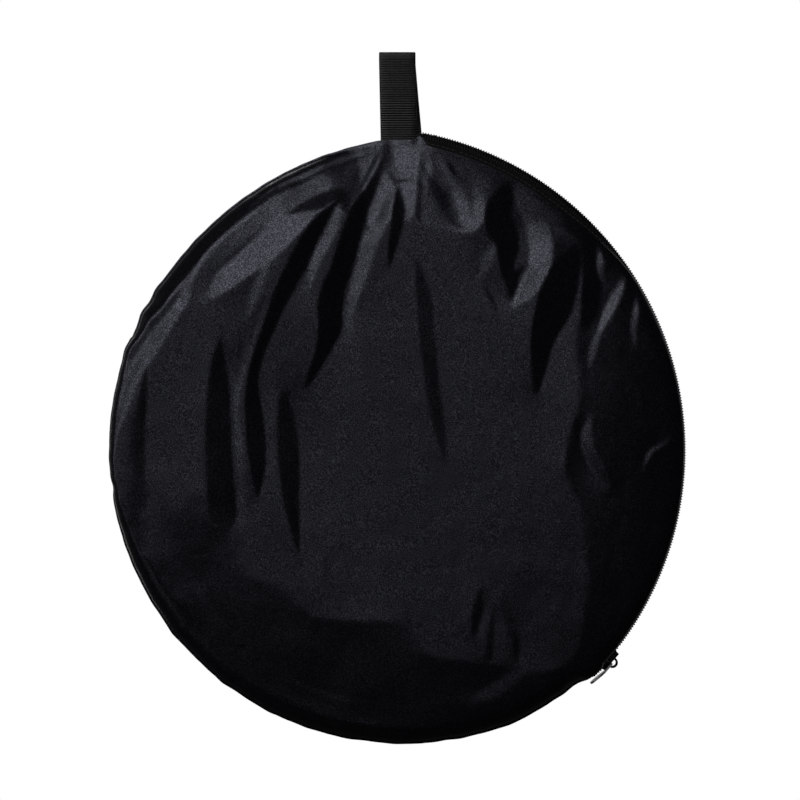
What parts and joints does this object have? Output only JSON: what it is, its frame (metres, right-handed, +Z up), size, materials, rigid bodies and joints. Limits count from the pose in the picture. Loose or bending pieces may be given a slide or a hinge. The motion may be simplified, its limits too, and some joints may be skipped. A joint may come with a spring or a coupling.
{
  "type": "collapsible reflector disc",
  "caption": "Round studio reflector folded small inside its zipped black satin bag, hung by a webbing loop.",
  "frame": {"origin": "inside crown of the webbing loop, where a hook bears", "axes": "+Z up, +Y out of the back face of the bag, +X towards the zip side; the front face looks along -Y"},
  "size_m": [0.3161, 0.028, 0.3792],
  "materials": {
    "bag_satin": "black satin weave, lined",
    "webbing": "ribbed black polyester",
    "thread": "black sewing thread",
    "zip_tape": "black woven tape",
    "zip_coil": "black nylon coil",
    "slider_metal": "black lacquered zinc",
    "pull_metal": "dull plated zinc",
    "spring_steel": "bright flat spring steel",
    "ferrule_brass": "crimped tube",
    "rim_tape": "black bias binding",
    "silver_cloth": "metallised silver",
    "white_cloth": "matt white"
  },
  "bodies": {
    "hanger": {"loop_webbing": "webbing"},
    "bag": {"front_panel": "bag_satin", "back_panel": "bag_satin", "seam_binding": "webbing", "loop_tails": "webbing", "bar_tack_upper": "thread", "bar_tack_lower": "thread", "zip_upper_end": "zip_tape", "zip_lower_end": "zip_tape", "zip_upper_stop": "slider_metal", "zip_lower_stop": "slider_metal"},
    "front_mouth": {"front_lip": "bag_satin", "zip_tape_front": "zip_tape", "zip_coil_front": "zip_coil"},
    "back_mouth": {"back_lip": "bag_satin", "zip_tape_back": "zip_tape", "zip_coil_back": "zip_coil"},
    "slider": {"zip_slider": "slider_metal"},
    "pull": {"pull_tab": "pull_metal"},
    "reflector": {"steel_band": "spring_steel", "band_ferrule": "ferrule_brass", "rim_binding": "rim_tape", "silver_sheet": "silver_cloth", "white_sheet": "white_cloth"}
  },
  "joints": [
    {"name": "loop_flex", "type": "hinge", "parent": "hanger", "child": "bag", "pos_m": [0, 0, -0.045], "axis": [1, 0, 0], "range_deg": [-60, 60]},
    {"name": "reflector_slide", "type": "slide", "parent": "bag", "child": "reflector", "axis": [0.8703, 0, 0.4925], "range_m": [0, 0.23]},
    {"name": "front_lip_fold", "type": "hinge", "parent": "bag", "child": "front_mouth", "pos_m": [0.07717, -0.014, -0.18663], "axis": [0.2965, 0, -0.955], "range_deg": [0, 160]},
    {"name": "back_lip_fold", "type": "hinge", "parent": "bag", "child": "back_mouth", "pos_m": [0.07717, 0.014, -0.18663], "axis": [-0.2965, 0, 0.955], "range_deg": [0, 160]},
    {"name": "zip_run", "type": "hinge", "parent": "bag", "child": "slider", "pos_m": [-0.02, 0, -0.2168], "axis": [0, 1, 0], "range_deg": [-114.5, 0]},
    {"name": "pull_swing", "type": "hinge", "parent": "slider", "child": "pull", "pos_m": [0.1172, 0, -0.33316], "axis": [0, -1, 0], "range_deg": [0, 140]}
  ],
  "couplings": [
    {"joint": "front_lip_fold", "follows": "reflector_slide", "rad_per_m": 12.14},
    {"joint": "back_lip_fold", "follows": "reflector_slide", "rad_per_m": 12.14}
  ]
}
